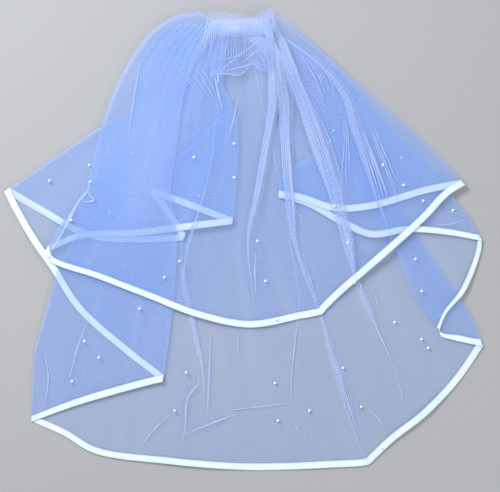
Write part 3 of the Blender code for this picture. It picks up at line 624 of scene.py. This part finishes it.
# The tulle itself is white: the blue of the colours below is the blue cast of the light, painted in.
tulle, tree, shader = finish("nylon_tulle", 0.6, IOR=1.53, Alpha=0.27, Sheen_Weight=0.15)
net = add(tree, "ShaderNodeTexBrick", {
    "Vector": on_cut(tree, NET_PER_METRE, NET_PER_METRE), "Scale": 1.0, "Mortar Size": 0.16,
    "Mortar Smooth": 0.4, "Brick Width": 1.0, "Row Height": 0.86, "Color1": linear("#478CF8"),
    "Color2": linear("#5A9CFA"), "Mortar": linear("#C0DAFF")})
crinkle = add(tree, "ShaderNodeTexNoise", {"Vector": on_cut(tree, 30, 3), "Scale": 1.0,
                                           "Detail": 5.0}).outputs[0]
streak = add(tree, "ShaderNodeMapRange", {"Value": crinkle, "From Min": 0.52, "From Max": 0.75,
                                          "To Max": 0.45}).outputs[0]
# The attribute paints the cloth paler: partly its denser look where gathered, and partly a painted highlight
# on tucks, folds and creases. The noise adds paler streaks at random.
white_and_highlight_share = add(tree, "ShaderNodeAttribute", {}, attribute_name="white_and_highlight").outputs["Fac"]
whiter_and_highlit = add(tree, "ShaderNodeMath", {0: streak, 1: white_and_highlight_share}, operation="ADD", use_clamp=True).outputs[0]
tree.links.new(mixed(tree, whiter_and_highlit, net.outputs["Color"], "#C2D6FF"), shader.inputs["Base Color"])
relief(tree, shader, crinkle, 0.5, 0.002)

# The columns are taken backwards, so that the outer sides of both tiers face outwards.
tulle_cloth = to_frame(tulle_net[::-1])
oval = net_object("tulle_oval_cloth", [(tulle_cloth, hem_run[::-1] * MM, length_down(tulle_cloth))], True,
                  np.concatenate(whites_and_highlights)[::-1].ravel())
oval.data.materials.append(tulle)
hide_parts("tulle_oval")
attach(oval, "root")

# The creases are painted nearly white: partly their denser doubled cloth, and partly a painted highlight
# along them.
pinches = net_object("pinched_creases", crease_nets, False, 0.9)
pressed = tulle.copy()
pressed.name = "nylon_tulle_pressed"
pressed.node_tree.nodes["Principled BSDF"].inputs["Alpha"].default_value = 0.42
pinches.data.materials.append(pressed)
close_seams(pinches)
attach(pinches, "root")

# The ribbon binding: polyester satin ribbon 11 mm wide, folded over the cut edge of the tulle and sewn down
# along its inner side. It runs once round the whole oval, so each fold of the edge folds the ribbon too.
# Polyester satin is smooth, with a broad soft shine and fine ribs across it, two to a millimetre. The ribbon
# itself is white: the blue of its tones is the blue cast of the light, painted in. Along its inner side,
# where it is stitched down, it is painted darker: painted shade where its edge curves down.
satin, tree, shader = finish("polyester_satin", 0.32, IOR=1.58, Sheen_Weight=0.15)
weft = add(tree, "ShaderNodeTexWave", {"Vector": on_cut(tree, 620, 60), "Scale": 1.0, "Distortion": 0.6,
                                       "Detail": 1.0})
cloudy = add(tree, "ShaderNodeTexNoise", {"Vector": on_cut(tree), "Scale": 38.0, "Detail": 3.0}).outputs[0]
from_inner = add(tree, "ShaderNodeSeparateXYZ", {"Vector": on_cut(tree)}).outputs["Y"]
# Painted shade: darker towards the inner edge, where the ribbon curves down to its stitches.
stitches_and_edge_shade = add(tree, "ShaderNodeMapRange", {"Value": from_inner, "From Min": 0.0008, "From Max": 0.0022,
                                        "To Min": 0.55, "To Max": 0.0}).outputs[0]
satin_tone = mixed(tree, stitches_and_edge_shade, mixed(tree, cloudy, "#C2DCF4", "#EEF8FF"), "#8FB4E6")
tree.links.new(satin_tone, shader.inputs["Base Color"])
relief(tree, shader, weft.outputs["Color"], 0.25, 0.0006)

ribbon_strip = to_frame(ribbon_net)
ribbon = net_object("ribbon_binding_satin", [(ribbon_strip, hem_run * MM, length_down(ribbon_strip))], True)
ribbon.data.materials.append(satin)
wall = ribbon.modifiers.new("thickness", "SOLIDIFY")
wall.thickness = 0.0004
wall.offset = 0.0
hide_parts("ribbon_binding")
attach(ribbon, "root")

# The header frill: a strip of the same tulle, gathered on a line under the band. Its short upper side
# stands above the comb, and its longer lower side falls over the upper tier and ends in a wavy edge.
FRILL_GATHERS = 27
TOP_X, TOP_Y = (-57, -34, -22, -5, 6, 11, 22, 37, 46), (361, 360, 357, 358, 354, 353, 361, 367, 363)
EDGE_X, EDGE_Y = (-60, -40, -10, 5, 11, 16, 22, 46), (258, 262, 259, 273, 278, 275, 268, 267)
FRILL_WIDTH = 102.0
FRILL_LIFT = 3.2        # height of the frill over the upper tier
frill_s, frill_v = np.meshgrid(np.linspace(0.5, -0.5, FRILL_GATHERS * 8 + 1), np.linspace(0, 1, 37),
                               indexing="ij")
frill_x = GATHER[0] + FRILL_WIDTH * frill_s
frill_top = np.interp(frill_x, TOP_X, TOP_Y)
frill_bottom = np.interp(frill_x, EDGE_X, EDGE_Y)
frill_y = frill_top + (frill_bottom - frill_top) * frill_v
frill_open = smoothstep((np.abs(frill_y - GATHER[1]) - 12) / 30)
frill_phase = 2 * np.pi * FRILL_GATHERS * (frill_s + 0.012 * np.sin(14 * frill_s) + 0.004 * frill_v)
frill_size = (0.9 + 1.2 * frill_open) * (1 + 0.4 * np.sin(11 * frill_s + 3 * frill_v))
frill_plan = np.stack([frill_x, frill_y], axis=-1)
frill_wave = 0.5 - 0.5 * np.cos(frill_phase)
frill_z = height_of(UPPER_TIER, frill_plan) + FRILL_LIFT + frill_size * frill_wave
# The frill is painted whiter on the crests of its gathers, a painted highlight where the light falls on them,
# and along its turned-up lower edge, partly a painted highlight there; near the gather line it is painted
# whiter where it lies densest.
frill_white_and_highlight = 0.2 + 0.5 * smoothstep((frill_wave - 0.7) / 0.3) + 0.5 * frill_v ** 30
frill_white_and_highlight = frill_white_and_highlight + 0.7 * smoothstep((22 - np.abs(frill_y - GATHER[1])) / 8)
frill_cloth = to_frame(np.concatenate([frill_plan, frill_z[..., None]], axis=2))

# The frill's own creases, where it is turned up along its lower edge and pulled towards its left end.
FRILL_CREASES = [
    Crease(UPPER_TIER, 2.4, [(-50, 286), (-26, 286), (-6, 296), (8, 305), (24, 320)]),
    Crease(UPPER_TIER, 2.0, [(-42, 262), (-30, 276), (-14, 288), (-4, 296)]),
    Crease(UPPER_TIER, 1.8, [(-10, 277), (6, 290), (18, 298), (38, 295)]),
    Crease(UPPER_TIER, 2.6, [(-50, 266), (-34, 267), (-2, 275), (11, 279), (19, 271), (26, 267), (38, 267)]),
    Crease(UPPER_TIER, 3.0, [(-50, 261), (-30, 262), (-10, 261), (2, 270)]),
    Crease(UPPER_TIER, 1.8, [(20, 297), (28, 284), (32, 270)]),
    Crease(UPPER_TIER, 1.4, [(-30, 322), (-31, 304), (-36, 288)]),
    Crease(UPPER_TIER, 1.4, [(0, 322), (-2, 308), (2, 296)]),
]
frill_nets = [(frill_cloth, (frill_s[:, 0] + 0.5) * 0.3, length_down(frill_cloth))]
for crease in FRILL_CREASES:
    tube, across, down = pinched(crease, over_band=0.0)
    frill_nets.append((tube + [0, 0, (FRILL_LIFT + 0.2) * MM], across, down))
crease_points = sum(net[0].shape[0] * net[0].shape[1] for net in frill_nets[1:])
# The frill's creases are painted nearly white too: partly denser cloth, partly a painted highlight.
frill = net_object("header_frill_tulle", frill_nets, False,
                   np.append(np.clip(frill_white_and_highlight, 0, 1).ravel(), np.full(crease_points, 0.8)))
close_seams(frill)
frill.data.materials.append(tulle)
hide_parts("header_frill")
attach(frill, "root")

# The comb band: a strip of satin and tulle, ruched on two rows of stitches and sewn over the gather line,
# where it hides the stitching and the comb's rail. Its edges are soft and its ends run into the gathers.
RUCHES = 31
BAND_LENGTH, BAND_HALF = 104.0, 13.5
BAND_LIFT = 4.6         # height of the band's edges over the upper tier
BAND_CROWN = 2.6        # rise of its middle over its edges
RUCHE_HEIGHT = 0.55
band_s = np.linspace(-0.5, 0.5, RUCHES * 6 + 1)[:, None]
band_v = np.linspace(-1, 1, 21)[None, :]
band_half = BAND_HALF - 6 * smoothstep((np.abs(band_s) - 0.34) / 0.16)
band_half = band_half + 0.5 * np.sin(2 * np.pi * RUCHES * band_s)
band_half = band_half + 0.8 * np.sin(31 * band_s + 2 * band_v)
band_x = GATHER[0] + BAND_LENGTH * band_s + 1.2 * np.sin(3.2 * band_v + 20 * band_s)
band_y = GATHER[1] + 1 + band_half * band_v + 1.5 * np.sin(7 * band_s)
ruche_phase = 2 * np.pi * RUCHES * (band_s + 0.01 * np.sin(17 * band_s))
ruche_phase = ruche_phase + 0.6 * np.sin(3 * band_v + 9 * band_s)
ruche = (0.5 + 0.5 * np.cos(ruche_phase)) * (1 - 0.5 * band_v ** 2) * (1 + 0.5 * np.sin(13 * band_s))
band_plan = np.stack([band_x, band_y], axis=-1)
band_rise = BAND_LIFT + BAND_CROWN * (1 - band_v ** 2) + RUCHE_HEIGHT * ruche
band_z = height_of(UPPER_TIER, band_plan) + band_rise
band_cloth = to_frame(np.concatenate([band_plan, band_z[..., None]], axis=2))
band_white = np.clip((1 - band_v ** 4) * (1 - (2 * band_s) ** 6), 0, 1)
band = net_object("comb_band_ruched", [(band_cloth, (band_s[:, 0] + 0.5) * 0.2, length_down(band_cloth))],
                  False, band_white.ravel())
# Satin ruched with tulle over it: half see-through, matt and hazy, whitest along the middle.
ruched, tree, shader = finish("ruched_satin_and_tulle", 0.8, IOR=1.55, Alpha=0.55, Sheen_Weight=0.2)
uneven = add(tree, "ShaderNodeTexNoise", {"Vector": on_cut(tree, 420, 20), "Scale": 1.0,
                                          "Detail": 3.0}).outputs[0]
middle = add(tree, "ShaderNodeAttribute", {}, attribute_name="white_and_highlight").outputs["Fac"]
ruched_tone = mixed(tree, middle, "#A4C0FC", mixed(tree, uneven, "#8FB1FB", "#C6D9FF"))
tree.links.new(ruched_tone, shader.inputs["Base Color"])
relief(tree, shader, uneven, 0.6, 0.001)
band.data.materials.append(ruched)
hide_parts("comb_band")
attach(band, "root")

# The hair comb: one clear polystyrene moulding, a rail with nineteen tapered teeth, which lies under the
# gathers with its teeth towards the hem.
# Clear polystyrene is glossy and nearly colourless. Seen through the cloth, its teeth show as pale bars.
clear, tree, shader = finish("clear_polystyrene", 0.12, IOR=1.59, Alpha=0.85)
haze = add(tree, "ShaderNodeTexNoise", {"Scale": 60.0, "Detail": 2.0}).outputs[0]
tree.links.new(mixed(tree, haze, "#DCE8F4", "#F4F9FF"), shader.inputs["Base Color"])
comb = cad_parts["comb"]
comb.data.materials.clear()
comb.data.materials.append(clear)

# The pearls: glass beads 4.3 mm across with a pearl coat, sewn on by hand over both tiers, about one to a
# hand's breadth. Some lie under four layers of the cloth, through which they show dimly.
PEARL_RADIUS = 2.15
LAYERS_OVER_COVERED = 4
PEARLS = np.array([
    (-314, 93), (-250, 118), (-248, 91), (-83, 130), (-19, 152), (-19, 98), (-106, -35), (-130, -61),
    (-170, -111), (-258, -163), (-235, -189), (-278, -227), (-96, -213), (-114, -274), (18, -3), (31, -67),
    (46, -230), (51, -290), (101, -274), (155, -206), (184, -268), (237, -133), (291, -174), (280, -160),
    (270, -32), (280, -83), (162, -6), (218, 118), (251, 86), (282, 61), (330, 46), (-278, 30), (-90, 22),
    (-314, -27), (48, -128), (216, -333), (173, -69), (141, 53)], float)
COVERED_PEARLS = np.array([
    (-181, 138), (-184, 74), (-218, 43), (-120, 36), (-75, 69), (140, 173), (134, 157), (136, 115),
    (130, 109), (248, 130)], float)
places = np.concatenate([PEARLS, COVERED_PEARLS])
layers_over = np.repeat([0, LAYERS_OVER_COVERED], [len(PEARLS), len(COVERED_PEARLS)])
levels = np.array([p.level for p in PANELS])
on_panel = np.array([distance_outside(places, outline_of(i)) == 0 for i in range(len(PANELS))])
downwards = np.argsort(-np.where(on_panel, levels[:, None] + 1, 0), axis=0)
seat_panels = downwards[layers_over, np.arange(len(places))]
pearl_z = np.array([height_of(k, p[None])[0] for k, p in zip(seat_panels, places)]) + PEARL_RADIUS
around, up = np.meshgrid(np.linspace(0, 2 * np.pi, 13), np.linspace(-np.pi / 2, np.pi / 2, 9),
                         indexing="ij")
ball = np.stack([np.cos(around) * np.cos(up), np.sin(around) * np.cos(up), np.sin(up)], axis=-1)
ball = ball * PEARL_RADIUS
seats = np.column_stack([places, pearl_z])
pearl_nets = [(to_frame(seat + ball), around[:, 0] * MM, up * MM) for seat in seats]
pearls = net_object("pearls", pearl_nets, False)
close_seams(pearls)
# A pearl coat is white and glossy under a clear layer, so each bead has a bright point of light.
nacre, tree, shader = finish("pearl_coat", 0.15, IOR=1.53, Coat_Weight=0.6)
lustre = add(tree, "ShaderNodeTexNoise", {"Scale": 400.0, "Detail": 2.0}).outputs[0]
tree.links.new(mixed(tree, lustre, "#EEF2F8", "#FFFFFF"), shader.inputs["Base Color"])
pearls.data.materials.append(nacre)
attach(pearls, "root")

# The floor is a plain pale board, lit by one large soft lamp from the upper left and a weaker one opposite.
floor_mesh = bpy.data.meshes.new("floor")
floor_mesh.from_pydata([(-4, -4, 0), (4, -4, 0), (4, 4, 0), (-4, 4, 0)], [], [(0, 1, 2, 3)])
floor = bpy.data.objects.new("floor", floor_mesh)
bpy.context.scene.collection.objects.link(floor)
board, tree, shader = finish("pale_board", 0.9)
shader.inputs["Base Color"].default_value = linear("#A4A6AA")
floor_mesh.materials.append(board)

LAMPS = (("key", (-1.4, 1.5, 1.5), 0.8, 62), ("fill", (1.6, -1.2, 2.0), 1.6, 22))    # size in m, power in W
for name, place, size, power in LAMPS:
    lamp = bpy.data.lights.new(name, "AREA")
    lamp.size = size
    lamp.energy = power
    holder = bpy.data.objects.new(name, lamp)
    holder.location = place
    x, y, z = place
    holder.rotation_euler = (math.atan2(math.hypot(x, y), z), 0, math.atan2(x, -y))
    bpy.context.scene.collection.objects.link(holder)
world = bpy.data.worlds.new("studio")
world.use_nodes = True
world.node_tree.nodes["Background"].inputs["Color"].default_value = (1, 1, 1, 1)
world.node_tree.nodes["Background"].inputs["Strength"].default_value = 0.6
bpy.context.scene.world = world
bpy.context.scene.cycles.transparent_max_bounces = 40
bpy.context.scene.view_settings.view_transform = "Standard"

# The camera looks straight down, with the 500 pixels of the picture's width spanning 0.8 m of the floor.
VIEW_WIDTH = 0.8
CAMERA_HEIGHT = 2.4
eye = bpy.data.objects.new("camera", bpy.data.cameras.new("camera"))
eye.data.lens = eye.data.sensor_width * CAMERA_HEIGHT / VIEW_WIDTH
eye.location = (0.010, -0.010, CAMERA_HEIGHT)
bpy.context.scene.collection.objects.link(eye)
bpy.context.scene.camera = eye
